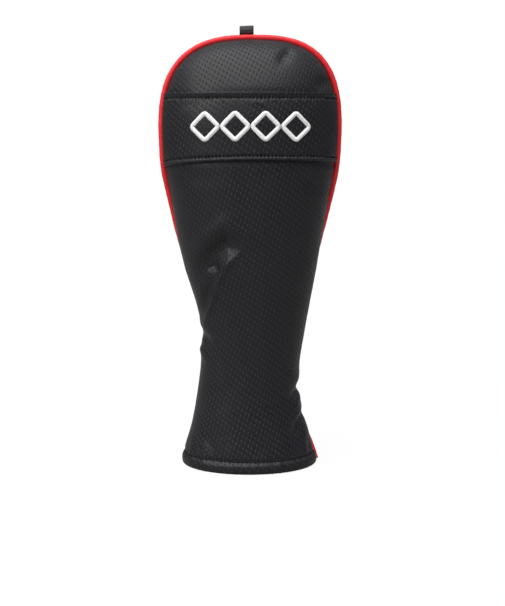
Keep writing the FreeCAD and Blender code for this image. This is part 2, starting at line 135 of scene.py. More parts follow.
# Distances from each edge of the band to the rows of its mesh, and the number of rows between these.
BAND_ROWS = (0, 0.15, 0.35, 0.6, 0.9, 1.3, 1.8, 2.4, 3.0, 3.5, 3.9, 4.2, 4.5, 4.9, 5.4, 6.0, 7.0)
BAND_MIDDLE_ROWS = 30
BAND_FOLDS = (
    (((-1, 285), (7, 284), (13, 281)), 1.8, 0.45),
    (((-52, 281), (-44, 284), (-38, 282)), 3.0, -0.35),
    (((44, 247), (54, 250), (60, 256)), 3.0, -0.4),
)

EMBLEM_HEIGHT = 266.9
EMBLEM_LIFT = 1.75
DIAMONDS = 4
DIAMOND_CORNER = 1.5

PIPING_LIFT = 1.2
PIPING_STEP = 1.4
LINING_DEPTH = 6.0
LINING_START = 8.6

# The pull loop's webbing: half its width, half its thickness and its slope across.
LOOP_HALF = 5.5
LOOP_THICK = 0.58
LOOP_SLOPE = 0.045
TACK_HALF = 4.4
TACK_STITCH = {"Pitch": 0.0006, "Length": 0.0005, "Thread": 0.0011}

# Side in metres of the flat sheet on which the pattern's coordinates run from 0 to 1.
SHEET = 0.4
# Place of the hem on that sheet.
SHEET_START = 0.05
# Steps between punched holes, across and up the leather, and how much taller than wide a hole is.
FIRST_STEP = (2.7, -1.9)
SECOND_STEP = (3.98, 2.1)
HOLE_STRETCH = 2.0


# ---------------------------------------------------------------- shape of the shell

def smooth_between(places, stations):
    """Smooth curves through stations, whose first column is the place, at the given places."""
    stations = np.array(stations, float)
    knots, values = stations[:, 0], stations[:, 1:]
    slopes = np.gradient(values, knots, axis=0)
    index = np.clip(np.searchsorted(knots, places, side="right") - 1, 0, len(knots) - 2)
    span = (knots[index + 1] - knots[index])[:, None]
    t = np.clip((places - knots[index])[:, None] / span, 0, 1)
    return ((2 * t ** 3 - 3 * t ** 2 + 1) * values[index] + (t ** 3 - 2 * t ** 2 + t) * span * slopes[index]
            + (3 * t ** 2 - 2 * t ** 3) * values[index + 1] + (t ** 3 - t ** 2) * span * slopes[index + 1])


def running(steps):
    """Distance from a line's start to each of its points, from the steps between them."""
    return np.concatenate([[0], np.cumsum(steps)])


def bell(distance, width):
    """A soft bump: 1 at no distance, and close to 0 beyond twice the width."""
    return np.exp(-(distance / width) ** 2)


def ripple(length, pitches, seed):
    """An irregular wave along a length, between about -1 and 1."""
    generator = np.random.default_rng(seed)
    wave = np.zeros_like(length)
    for pitch in pitches:
        turn = generator.uniform(0, 2 * math.pi)
        sway = np.sin(2 * math.pi * length / (pitch * 2.7) + turn * 2)
        wave += np.sin(2 * math.pi * length / pitch + turn + 0.9 * sway)
    return wave / len(pitches) ** 0.5


def fold_lift(across, height, folds):
    """How far the folds raise the leather at each place; they fade towards both their ends."""
    fading_share, left_at_ends = 0.35, 0.25
    lift = np.zeros_like(across)
    for points, width, rise in folds:
        points = np.array(points, float)
        steps = np.hypot(*np.diff(points, axis=0).T)
        starts = running(steps)
        nearest = np.full(across.shape, 1e9)
        along = np.zeros_like(across)
        for a, b, start, step in zip(points, points[1:], starts, steps):
            t = ((across - a[0]) * (b[0] - a[0]) + (height - a[1]) * (b[1] - a[1])) / step ** 2
            t = np.clip(t, 0, 1)
            distance = np.hypot(across - a[0] - t * (b[0] - a[0]), height - a[1] - t * (b[1] - a[1]))
            closer = distance < nearest
            nearest = np.where(closer, distance, nearest)
            along = np.where(closer, (start + t * step) / starts[-1], along)
        fade = np.clip(np.minimum(along, 1 - along) / fading_share, 0, 1)
        fade = left_at_ends + (1 - left_at_ends) * fade * fade * (3 - 2 * fade)
        lift += rise * fade * bell(nearest, width)
    return lift


def spreading(count, places, wrap):
    """The matrix that carries values at whole numbers to places between them along smooth curves."""
    matrix = np.zeros((len(places), count))
    base = np.floor(places).astype(int)
    t = places - base
    weights = (-0.5 * t + t ** 2 - 0.5 * t ** 3, 1 - 2.5 * t ** 2 + 1.5 * t ** 3,
               0.5 * t + 2 * t ** 2 - 1.5 * t ** 3, -0.5 * t ** 2 + 0.5 * t ** 3)
    for offset, weight in zip((-1, 0, 1, 2), weights):
        column = base + offset
        column = column % count if wrap else np.clip(column, 0, count - 1)
        np.add.at(matrix, (np.arange(len(places)), column), weight)
    return matrix


class Shell:
    """The cover's outer face as a grid: rows from the hem to the crown, columns from the left seam
    over the front to the right seam and on round the back to the left seam.  Lengths are millimetres."""

    FRONT = 144
    RING = 288
    LEG_ROWS = 211
    CROWN_ROWS = 76
    # Every third row and column makes the cloth's grid.
    COARSE = 3
    CLOTH_STEPS = 25
    CLOTH_LIMIT = 4.5

    def __init__(self):
        self.lay_rows()
        self.lay_columns()
        self.plain_normal = self.normals_of(self.flat)
        middle = self.flat[:, self.FRONT // 2]
        self.climb = running(np.linalg.norm(np.diff(middle, axis=0), axis=1))
        self.points = self.flat + self.plain_normal * self.lift()[..., None]
        self.normal = self.normals_of(self.points)

    def lay_rows(self):
        """Heights of the rows with the half width, half depth and centre of each."""
        shoulder, width, depth, centre = LEG[-1]
        leg_heights = np.linspace(0, shoulder, self.LEG_ROWS + 1)
        turn = np.linspace(0, math.pi / 2, 4001)
        rise = np.sin(turn) ** (2 / CROWN_POWER)
        crown = np.stack([
            shoulder + (CROWN_TOP - shoulder) * rise,
            width * np.clip(np.cos(turn), 0, 1) ** (2 / CROWN_POWER),
            depth * np.clip(1 - rise ** RIDGE_POWER, 0, 1) ** (1 / RIDGE_POWER),
            centre + CROWN_LEAN * rise ** 3,
        ], axis=1)
        steps = np.diff(crown, axis=0)
        length = running(np.sqrt(steps[:, 0] ** 2 + (steps[:, 1] ** 2 + steps[:, 2] ** 2) / 2))
        wanted = np.linspace(0, length[-1], self.CROWN_ROWS + 1)[1:]
        picked = np.stack([np.interp(wanted, length, crown[:, k]) for k in range(4)], axis=1)
        leg = np.column_stack([leg_heights, smooth_between(leg_heights, LEG)])
        self.heights, self.widths, self.depths, self.centres = np.concatenate([leg, picked]).T
        self.rows = len(self.heights)

    def lay_columns(self):
        """Points of the plain shape, and each one's distances from its side's middle and from a seam."""
        self.flat = np.zeros((self.rows, self.RING, 3))
        self.across = np.zeros((self.rows, self.RING))
        self.from_seam = np.zeros((self.rows, self.RING))
        course = smooth_between(self.heights, SEAM_COURSE)
        for row, (height, width, depth, centre) in enumerate(
                zip(self.heights, self.widths, self.depths, self.centres)):
            mean, twist = course[row]
            left, right = (math.asin(np.clip((mean - side * twist * width) / max(depth, 0.01), -0.95, 0.95))
                           for side in (1, -1))
            sides = ((math.pi - left, 2 * math.pi + right, self.FRONT, 1.5 * math.pi),
                     (2 * math.pi + right, 3 * math.pi - left, self.RING - self.FRONT, 2.5 * math.pi))
            first = 0
            for start, end, count, middle in sides:
                turn = np.linspace(start, end, 361)
                length = running(np.hypot(np.diff(width * np.cos(turn)), np.diff(depth * np.sin(turn))))
                wanted = np.linspace(0, length[-1], count + 1)[:-1]
                at = np.linspace(start, end, count + 1)[:-1]
                if length[-1] > 0:
                    at = np.interp(wanted, length, turn)
                part = slice(first, first + count)
                ring = (centre + width * np.cos(at), depth * np.sin(at), np.full(count, height))
                self.flat[row, part] = np.stack(ring, 1)
                self.across[row, part] = wanted - np.interp(middle, turn, length)
                self.from_seam[row, part] = np.minimum(wanted, length[-1] - wanted)
                first += count

    @staticmethod
    def normals_of(points):
        round_about = np.roll(points, -1, axis=1) - np.roll(points, 1, axis=1)
        normal = np.cross(round_about, np.gradient(points, axis=0))
        normal[-1] = (0, 0, 1)
        return normal / np.maximum(np.linalg.norm(normal, axis=2, keepdims=True), 1e-9)

    def settled(self):
        """Lift of the padded wall after its slack leather has settled, as a cloth on the coarse grid."""
        rows = np.arange(0, self.rows, self.COARSE)
        columns = np.arange(0, self.RING, self.COARSE)
        coarse = np.ix_(rows, columns)
        points = self.flat[coarse]
        height = points[..., 2]
        under_band = (columns < self.FRONT) & (height > BAND_LOW - 6.9) & (height < BAND_HIGH + 2.9)
        held = (height < 11) | (self.from_seam[coarse] < 4.5) | (height > 330) | under_band
        moved = settle_cloth(points, held, bell(height - 120, 85.0), self.CLOTH_STEPS)
        lift = ((moved - points) * self.plain_normal[coarse]).sum(axis=2)
        lift = np.where(held, 0, np.clip(lift, -self.CLOTH_LIMIT, self.CLOTH_LIMIT))
        carry_rows = spreading(len(rows), np.arange(self.rows) / self.COARSE, False)
        carry_columns = spreading(len(columns), np.arange(self.RING) / self.COARSE, True)
        return carry_rows @ lift @ carry_columns.T

    def lift(self):
        """What the padding, the seams and the folds add to the plain shape."""
        x, height = self.flat[..., 0], self.flat[..., 2]
        front = np.broadcast_to(np.arange(self.RING) < self.FRONT, x.shape)
        lift = np.where(front, fold_lift(x, height, FRONT_FOLDS), fold_lift(x, height, BACK_FOLDS))
        lift += self.settled()
        seam = self.from_seam
        climb = np.broadcast_to(self.climb[:, None], x.shape)
        lift += -1.3 * bell(seam, 2.4)
        puckers = ripple(climb + 40 * front, (6.7, 10.9, 17.0), 5)
        lift += 0.32 * np.exp(-seam / 8) * puckers * (1 - bell(seam, 2))
        hem = np.clip(height / HEM_SEAM, 0, 1)
        lift += 1.25 * np.sin(math.pi * hem) ** 0.8 * (height < HEM_SEAM)
        lift += -1.1 * bell(height - HEM_SEAM, 1.3)
        lift += 0.32 * ripple(self.across, (3.4, 9.0, 14.5), 11) * bell(height - HEM_SEAM, 4.0)
        lift += 0.3 * ripple(self.across, (13.0, 21.0), 12) * bell(height - HEM_SEAM - 5, 9.0)
        for edge in (BAND_LOW, BAND_HIGH):
            lift += np.where(front, -0.5 * bell(height - edge, 3.0), 0)
        return lift * np.clip((CROWN_TOP - height) / 3, 0, 1)

    def row_at(self, height):
        return np.interp(height, self.heights, np.arange(self.rows))

    def column_at(self, row, x):
        """Columns of the front where the plain shape is x across at the given rows."""
        row, x = np.broadcast_arrays(np.asarray(row, float), np.asarray(x, float))
        columns = np.zeros(row.shape)
        for index in np.ndindex(row.shape):
            nearest = self.flat[int(round(row[index])), : self.FRONT + 1, 0]
            columns[index] = np.interp(x[index], nearest, np.arange(self.FRONT + 1))
        return columns

    def between(self, grid, row, column):
        """Values of a grid at places between its rows and columns."""
        row, column = np.broadcast_arrays(np.asarray(row, float), np.asarray(column, float))
        r = np.clip(np.floor(row).astype(int), 0, self.rows - 2)
        c = np.floor(column).astype(int)
        s, t = (row - r)[..., None], (column - c)[..., None]
        c, d = c % self.RING, (c + 1) % self.RING
        low = (1 - t) * grid[r, c] + t * grid[r, d]
        high = (1 - t) * grid[r + 1, c] + t * grid[r + 1, d]
        return (1 - s) * low + s * high

    def number_between(self, grid, row, column):
        return self.between(grid[..., None], row, column)[..., 0]

    def on_leather(self, row, column, lift):
        """Points at a lift over the folded leather, and the way out of it there."""
        up = self.between(self.normal, row, column)
        up = up / np.linalg.norm(up, axis=-1, keepdims=True)
        return self.between(self.points, row, column) + up * lift, up

    def on_plain(self, row, column, lift):
        """Points at a lift over the plain shape, and the way out of it there."""
        up = self.between(self.plain_normal, row, column)
        return self.between(self.flat, row, column) + up * lift, up


def settle_cloth(points, held, slack, steps):
    """Where the points of a closed grid come to rest as slack cloth under a light pressure."""
    mesh = grid_mesh("settling", points, wrap=True)
    cloth = bpy.data.objects.new("settling", mesh)
    scene = bpy.context.scene
    scene.collection.objects.link(cloth)
    for name, weights in (("held", held.astype(float)), ("slack", slack)):
        group = cloth.vertex_groups.new(name=name)
        for index, weight in enumerate(weights.ravel()):
            if weight > 0.01:
                group.add([index], float(weight), "REPLACE")
    modifier = cloth.modifiers.new("cloth", "CLOTH")
    settings = modifier.settings
    settings.vertex_group_mass = "held"
    settings.vertex_group_shrink = "slack"
    settings.shrink_min = 0.0
    settings.shrink_max = -0.028
    settings.quality = 6
    settings.mass = 0.2
    settings.tension_stiffness = 25
    settings.compression_stiffness = 25
    settings.shear_stiffness = 12
    settings.bending_stiffness = 3
    settings.air_damping = 4
    settings.use_pressure = True
    settings.uniform_pressure_force = 1.2
    settings.effector_weights.gravity = 0
    modifier.collision_settings.use_collision = False
    for step in range(1, steps + 1):
        scene.frame_set(step)
    evaluated = cloth.evaluated_get(bpy.context.evaluated_depsgraph_get())
    moved = np.zeros(points.size)
    evaluated.data.vertices.foreach_get("co", moved)
    scene.frame_set(1)
    bpy.data.objects.remove(cloth)
    bpy.data.meshes.remove(mesh)
    return moved.reshape(points.shape) / MM


@functools.cache
def shell():
    return Shell()


# ---------------------------------------------------------------- meshes

def grid_mesh(name, points, wrap=False, caps=False, uv=None, flip=False):
    """A mesh of quads over rows and columns of points in millimetres, closed round the columns if wrap."""
    rows, columns = points.shape[:2]
    index = np.arange(rows * columns).reshape(rows, columns)
    right = np.roll(index, -1, axis=1) if wrap else index[:, 1:]
    left = index if wrap else index[:, :-1]
    faces = np.stack([left[:-1], right[:-1], right[1:], left[1:]], axis=-1).reshape(-1, 4)
    if flip:
        faces = faces[:, ::-1]
    ends = [index[0][::-1].tolist(), index[-1].tolist()] if caps else []
    mesh = bpy.data.meshes.new(name)
    mesh.from_pydata((points.reshape(-1, 3) * MM).tolist(), [], faces.tolist() + ends)
    if uv is not None:
        layer = mesh.uv_layers.new(name="pattern")
        corners = np.zeros(len(mesh.loops), dtype=np.int32)
        mesh.loops.foreach_get("vertex_index", corners)
        layer.data.foreach_set("uv", uv.reshape(-1, 2)[corners].astype(np.float32).ravel())
    mesh.polygons.foreach_set("use_smooth", np.ones(len(mesh.polygons), bool))
    return mesh


def show(name, mesh, material=None):
    """Put a mesh into the scene, with a material unless it has one already."""
    thing = bpy.data.objects.new(name, mesh)
    bpy.context.scene.collection.objects.link(thing)
    if material and not mesh.materials:
        mesh.materials.append(material)
    return thing


def merge_doubles(mesh, distance=1e-7):
    work = bmesh.new()
    work.from_mesh(mesh)
    bmesh.ops.remove_doubles(work, verts=work.verts, dist=distance)
    work.to_mesh(mesh)
    work.free()


def fit(thing, body, slot, *nodes):
    """Let a finished piece ride on its body and stand for its CAD nodes."""
    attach(thing, body)
    if nodes:
        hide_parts(*nodes)


def sweep(path, up, section):
    """Points of a section (side, rise) carried along a path whose rise follows up."""
    along = np.gradient(path, axis=0)
    along /= np.linalg.norm(along, axis=1, keepdims=True)
    side = np.cross(along, up)
    side /= np.linalg.norm(side, axis=1, keepdims=True)
    rise = np.cross(side, along)
    return path[:, None] + side[:, None] * section[..., 0:1] + rise[:, None] * section[..., 1:2]


def lines_object(name, lines):
    """One object from (path, up, closed) lines; "up" keeps the direction away from the surface."""
    vertices, ups, edges = [], [], []
    for path, up, closed in lines:
        first, count = len(vertices), len(path)
        vertices += (path * MM).tolist()
        ups.append(up)
        edges += [(first + k, first + k + 1) for k in range(count - 1)]
        if closed:
            edges.append((first + count - 1, first))
    mesh = bpy.data.meshes.new(name)
    mesh.from_pydata(vertices, edges, [])
    values = np.concatenate(ups).astype(np.float32).ravel()
    mesh.attributes.new("up", "FLOAT_VECTOR", "POINT").data.foreach_set("vector", values)
    return show(name, mesh)


def even(path, step, *others):
    """A path and the values along it, resampled to an even step."""
    length = running(np.linalg.norm(np.diff(path, axis=0), axis=1))
    count = max(2, int(round(length[-1] / step)) + 1)
    wanted = np.linspace(0, length[-1], count)
    return [np.stack([np.interp(wanted, length, values[:, k]) for k in range(values.shape[1])], 1)
            for values in (path, *others)]


def softened(path, times):
    """A path with its corners softened; its two ends stay."""
    path = path.copy()
    for _ in range(times):
        path[1:-1] = (path[:-2] + 2 * path[1:-1] + path[2:]) / 4
    return path


def pattern_places(across, climb):
    """Pattern coordinates on the flat sheet for places in millimetres across and up the leather."""
    climb = np.broadcast_to(climb, across.shape)
    return np.stack([across * MM / SHEET + 0.5, climb * MM / SHEET + SHEET_START], axis=-1)


# ---------------------------------------------------------------- nodes

class Graph:
    """Adds nodes to a tree: a type, its settings first, then the values or links of its sockets."""

    def __init__(self, tree):
        self.tree = tree
        tree.nodes.clear()

    def node(self, kind, settings=None, inputs=None):
        node = self.tree.nodes.new(kind)
        for name, value in (settings or {}).items():
            if name == "stops":
                ramp = node.color_ramp
                while len(ramp.elements) < len(value):
                    ramp.elements.new(0.5)
                for element, (place, color) in zip(ramp.elements, value):
                    element.position = place
                    element.color = color
            else:
                setattr(node, name, value)
        for key, value in (inputs or {}).items():
            if isinstance(value, Term):
                value = value.socket
            if isinstance(value, bpy.types.NodeSocket):
                self.tree.links.new(value, node.inputs[key])
            else:
                node.inputs[key].default_value = value
        return node

    def term(self, kind, settings=None, inputs=None, output=0):
        return Term(self, self.node(kind, settings, inputs).outputs[output])


class Term:
    """A number on a socket, which Python's operators carry on with Math nodes."""

    def __init__(self, graph, socket):
        self.graph = graph
        self.socket = socket

    def math(self, operation, first, second=None):
        inputs = {0: first} if second is None else {0: first, 1: second}
        return self.graph.term("ShaderNodeMath", {"operation": operation}, inputs)

    def __add__(self, other):
        return self.math("ADD", self, other)

    def __radd__(self, other):
        return self.math("ADD", other, self)

    def __sub__(self, other):
        return self.math("SUBTRACT", self, other)

    def __rsub__(self, other):
        return self.math("SUBTRACT", other, self)

    def __mul__(self, other):
        return self.math("MULTIPLY", self, other)

    def __rmul__(self, other):
        return self.math("MULTIPLY", other, self)

    def __truediv__(self, other):
        return self.math("DIVIDE", self, other)

    def __pow__(self, other):
        return self.math("POWER", self, other)

    def floor(self):
        return self.math("FLOOR", self)

    def sine(self):
        return self.math("SINE", self)

    def absolute(self):
        return self.math("ABSOLUTE", self)


def new_material(name):
    material = bpy.data.materials.new(name)
    material.use_nodes = True
    return material, Graph(material.node_tree)


def finish_material(graph, inputs):
    shader = graph.node("ShaderNodeBsdfPrincipled", None, inputs)
    graph.node("ShaderNodeOutputMaterial", None, {"Surface": shader.outputs[0]})


def noise(graph, vector, scale, detail):
    inputs = {"Vector": vector, "Scale": scale, "Detail": detail}
    return graph.term("ShaderNodeTexNoise", None, inputs)


def shades(graph, factor, dark, light):
    """A colour between two others by a factor."""
    stops = ((0.0, (*dark, 1.0)), (1.0, (*light, 1.0)))
    return graph.node("ShaderNodeValToRGB", {"stops": stops}, {"Fac": factor}).outputs["Color"]


def bump(graph, height, strength, distance, normal=None):
    inputs = {"Height": height, "Strength": strength, "Distance": distance}
    if normal is not None:
        inputs["Normal"] = normal
    return graph.node("ShaderNodeBump", None, inputs).outputs["Normal"]


def object_place(graph):
    return graph.node("ShaderNodeTexCoord").outputs["Object"]


def pattern_axes(graph):
    """The two axes of the piece's own flat pattern."""
    pattern = graph.node("ShaderNodeUVMap", {"uv_map": "pattern"}).outputs["UV"]
    split = graph.node("ShaderNodeSeparateXYZ", None, {"Vector": pattern})
    return Term(graph, split.outputs["X"]), Term(graph, split.outputs["Y"])


def hole_rims(graph):
    """Depth, from 0 to 1, of the rounded rim that each punched hole presses into the leather."""
    sheet_across, sheet_climb = pattern_axes(graph)
    across = (sheet_across - 0.5) * (SHEET / MM)
    climb = (sheet_climb - 0.5) * (SHEET / MM)
    (ax, ay), (bx, by) = FIRST_STEP, SECOND_STEP
    area = ax * by - ay * bx
    first = (across * by - climb * bx) / area
    second = (climb * ax - across * ay) / area
    first = first - (first + 0.5).floor()
    second = second - (second + 0.5).floor()
    x = first * ax + second * bx
    y = (first * ay + second * by) / HOLE_STRETCH
    rim = graph.node("ShaderNodeMapRange", {"interpolation_type": "SMOOTHSTEP"}, {
        "Value": (x * x + y * y) ** 0.5, "From Min": 0.4, "From Max": 0.8, "To Min": 1.0, "To Max": 0.0})
    return Term(graph, rim.outputs["Result"])


def leather_material(name, dark, light, gloss, grain, relief, punched=False):
    """Satin synthetic leather: pebbled grain, faint mottling of colour and gloss, soft handling marks."""
    material, graph = new_material(name)
    place = object_place(graph)
    pebbles = graph.term("ShaderNodeTexVoronoi", {"feature": "SMOOTH_F1"}, {
        "Vector": place, "Scale": 1 / grain, "Smoothness": 0.6})
    fine = noise(graph, place, 2.2 / grain, 4)
    broad = noise(graph, place, 22, 3)
    patches = noise(graph, place, 70, 4)
    colour = shades(graph, broad * 0.5 + patches * 0.3 + fine * 0.2, dark, light)
    rough = gloss + (patches - 0.5) * 0.12 + (fine - 0.5) * 0.10
    surface = bump(graph, pebbles * -0.7 + fine * 0.5, 0.5, relief)
    if punched:
        surface = bump(graph, 1 - hole_rims(graph), 1.0, 0.0002, surface)
    finish_material(graph, {
        "Base Color": colour, "Roughness": rough, "Normal": surface, "Specular IOR Level": 0.3})
    return material


def felt_material():
    material, graph = new_material("felt under the holes")
    felt = noise(graph, object_place(graph), 900, 2)
    colour = shades(graph, felt, (0.036, 0.036, 0.038), (0.050, 0.050, 0.053))
    finish_material(graph, {"Base Color": colour, "Roughness": 0.95, "Specular IOR Level": 0.2})
    return material


def thread_material(name, dark, light, rough, shine):
    material, graph = new_material(name)
    twist = noise(graph, object_place(graph), 2600, 2)
    finish_material(graph, {
        "Base Color": shades(graph, twist, dark, light), "Roughness": rough,
        "Normal": bump(graph, twist, 0.3, 0.00006), "Specular IOR Level": shine})
    return material


def flecked_material():
    """Black thread with pale flecks where single stitches catch the light."""
    material, graph = new_material("flecked thread")
    stops = ((0.0, (0.003, 0.003, 0.0035, 1)), (0.69, (0.004, 0.004, 0.0045, 1)),
             (0.72, (0.42, 0.42, 0.43, 1)))
    flecks = noise(graph, object_place(graph), 620, 2)
    colour = graph.node("ShaderNodeValToRGB", {"stops": stops}, {"Fac": flecks}).outputs["Color"]
    finish_material(graph, {"Base Color": colour, "Roughness": 0.6, "Specular IOR Level": 0.2})
    return material


def fleece_material():
    material, graph = new_material("fleece")
    place = object_place(graph)
    pile = noise(graph, place, 700, 5)
    clumps = noise(graph, place, 160, 3)
    finish_material(graph, {
        "Base Color": shades(graph, pile * 0.6 + clumps * 0.4, (0.025, 0.025, 0.028), (0.085, 0.085, 0.09)),
        "Roughness": 0.98, "Normal": bump(graph, pile * 0.7 + clumps, 0.8, 0.0012),
        "Sheen Weight": 0.4, "Sheen Roughness": 0.5, "Specular IOR Level": 0.1})
    return material


def webbing_material():
    """Woven tape: ribs across it, fine yarns along it, and its colour made darker towards both edges."""
    material, graph = new_material("black webbing")
    along, across = pattern_axes(graph)
    ribs = (along * 2 * math.pi / 0.0018).sine()
    yarns = (across * 2 * math.pi / 0.00092 + ribs * 0.6).sine()
    weave = (ribs * 0.5 + 0.5) * 0.75 + (yarns * 0.5 + 0.5) * 0.25
    # Colour made darker towards both edges of the tape, over the outer part of its width.
    edge_darkening = (across / (LOOP_HALF * MM)).absolute() ** 6.0
    colour = shades(graph, weave * 0.8 * (1 - edge_darkening * 0.8), (0.004, 0.004, 0.005), (0.05, 0.05, 0.053))
    finish_material(graph, {
        "Base Color": colour, "Roughness": 0.7,
        "Normal": bump(graph, weave, 0.6, 0.00025), "Sheen Weight": 0.2})
    return material


def label_material():
    material, graph = new_material("label satin")
    along, climb = pattern_axes(graph)
    weave = (climb * 2 * math.pi / 0.0006).sine() * 0.5 + 0.5
    finish_material(graph, {
        "Base Color": shades(graph, weave, (0.62, 0.62, 0.60), (0.82, 0.82, 0.80)),
        "Roughness": 0.5, "Normal": bump(graph, weave, 0.3, 0.0001)})
    return material


@functools.cache
def materials():
    """Every finish of the cover, by name."""
    settings = bpy.context.scene.head_cover
    black, gloss, red = settings.leather_colour, settings.leather_gloss, settings.piping_colour
    black_light = [1.5 * value + 0.002 for value in black]
    red_dark = [0.82 * value for value in red]
    red_light = [min(1.0, 1.12 * value + 0.004) for value in red]
    return {
        "leather": leather_material("black leather", black, black_light, gloss, 0.0011, 0.00018, True),
        "back": leather_material("black back leather", black, black_light, gloss + 0.03, 0.0013, 0.0002),
        "piping": leather_material("red piping leather", red_dark, red_light, 0.46, 0.0009, 0.0002),
        "hole": felt_material(),
        "black thread": thread_material(
            "black thread", (0.002, 0.002, 0.0023), (0.006, 0.006, 0.007), 0.65, 0.2),
        "white thread": thread_material("white thread", (0.88, 0.88, 0.87), (1.0, 1.0, 0.99), 0.42, 0.5),
        "flecked thread": flecked_material(),
        "fleece": fleece_material(),
        "webbing": webbing_material(),
        "label": label_material(),
    }


def new_tree(name, inputs):
    """An empty geometry tree with its named inputs, and the identifiers of these inputs."""
    tree = bpy.data.node_groups.new(name, "GeometryNodeTree")
    graph = Graph(tree)
    tree.interface.new_socket(name="Geometry", in_out="INPUT", socket_type="NodeSocketGeometry")
    identifiers = {}
    for label, default in (*inputs, ("Material", None)):
        kind = "Vector" if isinstance(default, tuple) else "Float" if default is not None else "Material"
        socket = tree.interface.new_socket(name=label, in_out="INPUT", socket_type="NodeSocket" + kind)
        if default is not None:
            socket.default_value = default
        identifiers[label] = socket.identifier
    tree.interface.new_socket(name="Geometry", in_out="OUTPUT", socket_type="NodeSocketGeometry")
    return tree, graph, graph.node("NodeGroupInput").outputs, identifiers


def end_tree(graph, instances, material):
    """Real geometry with its material as the tree's result."""
    real = graph.node("GeometryNodeRealizeInstances", None, {"Geometry": instances})
    done = graph.node("GeometryNodeSetMaterial", None, {"Geometry": real.outputs[0], "Material": material})
    graph.node("NodeGroupOutput", None, {"Geometry": done.outputs[0]})


def vector_node(graph, operation, inputs):
    return graph.node("ShaderNodeVectorMath", {"operation": operation}, inputs).outputs[0]


def vector_of(graph, x, y, z):
    return graph.node("ShaderNodeCombineXYZ", None, {"X": x, "Y": y, "Z": z}).outputs[0]


def named_vector(graph, name):
    settings = {"data_type": "FLOAT_VECTOR"}
    return graph.node("GeometryNodeInputNamedAttribute", settings, {"Name": name}).outputs[0]


def facing(graph, up, along):
    return graph.node("FunctionNodeAxesToRotation", {"primary_axis": "Z", "secondary_axis": "X"},
                      {"Primary Axis": up, "Secondary Axis": along}).outputs[0]


def stations(graph, given):
    """Points every Pitch along the line, and the turn that stands a stitch on the surface there."""
    curve = graph.node("GeometryNodeMeshToCurve", None, {"Mesh": given["Geometry"]})
    points = graph.node("GeometryNodeResampleCurve", {"mode": "LENGTH"}, {
        "Curve": curve.outputs[0], "Length": given["Pitch"]})
    along = graph.node("GeometryNodeInputTangent").outputs[0]
    return points.outputs[0], facing(graph, named_vector(graph, "up"), along)


@functools.cache
def stitch_tree():
    """Separate stitches along a line: each an oval bead of thread that dips into the leather at both ends."""
    tree, graph, given, identifiers = new_tree("stitches along a line", (
        ("Pitch", 0.0033), ("Length", 0.0027), ("Thread", 0.0007), ("Sway", 0.06)))
    points, turned = stations(graph, given)
    bead = graph.node("GeometryNodeMeshUVSphere", None, {"Segments": 8, "Rings": 6, "Radius": 0.5})
    smooth = graph.node("GeometryNodeSetShadeSmooth", None, {0: bead.outputs[0]})
    sway = graph.node("FunctionNodeRandomValue", {"data_type": "FLOAT"}, {
        "Min": Term(graph, given["Sway"]) * -1.0, "Max": given["Sway"], "Seed": 3})
    swayed = graph.node("FunctionNodeAxisAngleToRotation", None, {
        "Axis": (0.0, 0.0, 1.0), "Angle": sway.outputs[1]})
    turned = graph.node("FunctionNodeRotateRotation", {"rotation_space": "LOCAL"}, {
        "Rotation": turned, "Rotate By": swayed.outputs[0]})
    placed = graph.node("GeometryNodeInstanceOnPoints", None, {
        "Points": points, "Instance": smooth.outputs[0], "Rotation": turned.outputs[0],
        "Scale": vector_of(graph, given["Length"], given["Thread"], given["Thread"])})
    end_tree(graph, placed.outputs[0], given["Material"])
    return tree, identifiers


@functools.cache
def satin_tree():
    """Satin stitching along a line: threads side by side across the line, each an arch over the padding."""
    tree, graph, given, identifiers = new_tree("satin stitching", (
        ("Pitch", 0.00028), ("Stroke", 0.0031), ("Rise", 0.0009), ("Thread", 0.00023)))
    points, turned = stations(graph, given)
    half = Term(graph, given["Stroke"]) * 0.5
    sunk = Term(graph, given["Rise"]) * -0.35
    arch = graph.node("GeometryNodeCurveQuadraticBezier", None, {
        "Resolution": 6, "Start": vector_of(graph, 0.0, 0 - half, sunk),
        "End": vector_of(graph, 0.0, half, sunk),
        "Middle": vector_of(graph, 0.0, 0.0, Term(graph, given["Rise"]) * 1.9)})
    round_thread = graph.node("GeometryNodeCurvePrimitiveCircle", {"mode": "RADIUS"}, {
        "Resolution": 5, "Radius": given["Thread"]})
    thread = graph.node("GeometryNodeCurveToMesh", None, {
        "Curve": arch.outputs[0], "Profile Curve": round_thread.outputs[0]})
    smooth = graph.node("GeometryNodeSetShadeSmooth", None, {0: thread.outputs[0]})
    slack = graph.node("FunctionNodeRandomValue", {"data_type": "FLOAT_VECTOR"}, {
        "Min": (1.0, 0.96, 0.93), "Max": (1.0, 1.04, 1.05), "Seed": 8})
    placed = graph.node("GeometryNodeInstanceOnPoints", None, {
        "Points": points, "Instance": smooth.outputs[0], "Rotation": turned, "Scale": slack.outputs[0]})
    end_tree(graph, placed.outputs[0], given["Material"])
    return tree, identifiers


